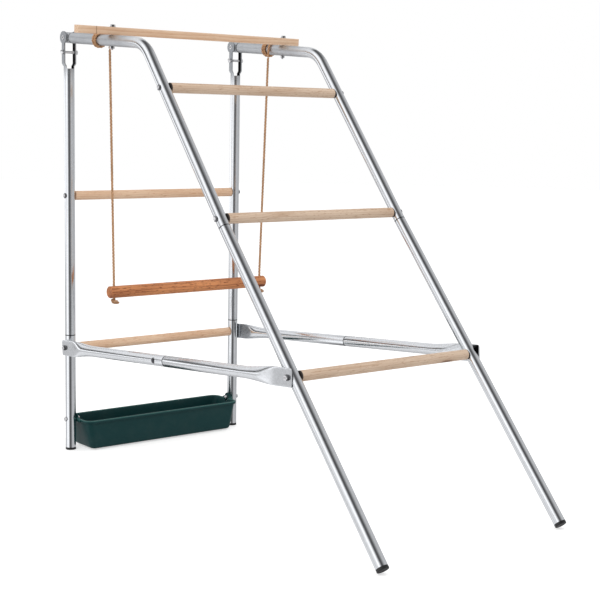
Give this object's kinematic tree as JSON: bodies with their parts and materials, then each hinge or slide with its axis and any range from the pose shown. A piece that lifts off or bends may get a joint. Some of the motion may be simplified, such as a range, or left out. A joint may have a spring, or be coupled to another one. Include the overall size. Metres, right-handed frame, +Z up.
{
  "type": "chicken perch",
  "caption": "Free-standing tube frame for hens with a ladder of round wooden perches, a top beam, a rope swing and a feeding trough between its feet.",
  "frame": {"origin": "centre of the whole perch's footprint box, on the floor", "axes": "+Z up, the ladder comes down towards -Y, +X runs along the perches"},
  "size_m": [0.614, 1.2166, 1.0131],
  "materials": {
    "galvanised_tube": "galvanised, satin, with streaked reflections and dull spangle at the bends",
    "zinc_fasteners": "zinc plated, satin",
    "black_plastic": "moulded, matt",
    "pale_wood": "planed and turned softwood, unvarnished, with grain and small knots",
    "brown_wood": "turned wood, reddish brown, dull",
    "green_plastic": "moulded, slightly glossy dark green",
    "rope": "twisted natural fibre"
  },
  "bodies": {
    "frame": {"post_upper_left": "galvanised_tube", "post_upper_right": "galvanised_tube", "post_lower_left": "galvanised_tube", "post_lower_right": "galvanised_tube", "rail_left": "galvanised_tube", "rail_right": "galvanised_tube", "ladder_tube_left": "galvanised_tube", "ladder_tube_right": "galvanised_tube", "brace_rear_left": "galvanised_tube", "brace_rear_right": "galvanised_tube", "brace_front_left": "galvanised_tube", "brace_front_right": "galvanised_tube", "rear_feet": "black_plastic", "front_foot_left": "black_plastic", "front_foot_right": "black_plastic", "top_beam": "pale_wood", "perch_top": "pale_wood", "perch_middle": "pale_wood", "perch_bottom": "pale_wood", "rear_perch_upper": "pale_wood", "rear_perch_lower": "pale_wood", "perch_screws": "zinc_fasteners", "perch_screw_washers": "zinc_fasteners", "brace_bolts": "zinc_fasteners", "brace_bolt_washers": "zinc_fasteners", "beam_bolts": "zinc_fasteners", "beam_bolt_washers": "zinc_fasteners", "beam_nuts": "zinc_fasteners", "pivot_rivets": "zinc_fasteners", "clamp_bolts": "zinc_fasteners", "clamp_nuts": "zinc_fasteners", "feeding_trough": "green_plastic", "trough_bolts": "zinc_fasteners", "trough_nuts": "zinc_fasteners", "rope_lashing_left": "rope", "rope_lashing_right": "rope"},
    "swing": {"swing_rope_left": "rope", "swing_rope_right": "rope", "swing_bar": "brown_wood", "rope_knots": "rope"},
    "left_button": {"brace_button_left": "zinc_fasteners"},
    "right_button": {"brace_button_right": "zinc_fasteners"}
  },
  "joints": [
    {"name": "swing_hinge", "type": "hinge", "parent": "frame", "child": "swing", "pos_m": [0.025, 0.39204, 0.95823], "axis": [1, 0, 0], "range_deg": [-40, 20]},
    {"name": "left_button_press", "type": "slide", "parent": "frame", "child": "left_button", "axis": [1, 0, 0], "range_m": [0, 0.0026], "stiffness_N_per_m": 400},
    {"name": "right_button_press", "type": "slide", "parent": "frame", "child": "right_button", "axis": [-1, 0, 0], "range_m": [0, 0.0026], "stiffness_N_per_m": 400}
  ]
}
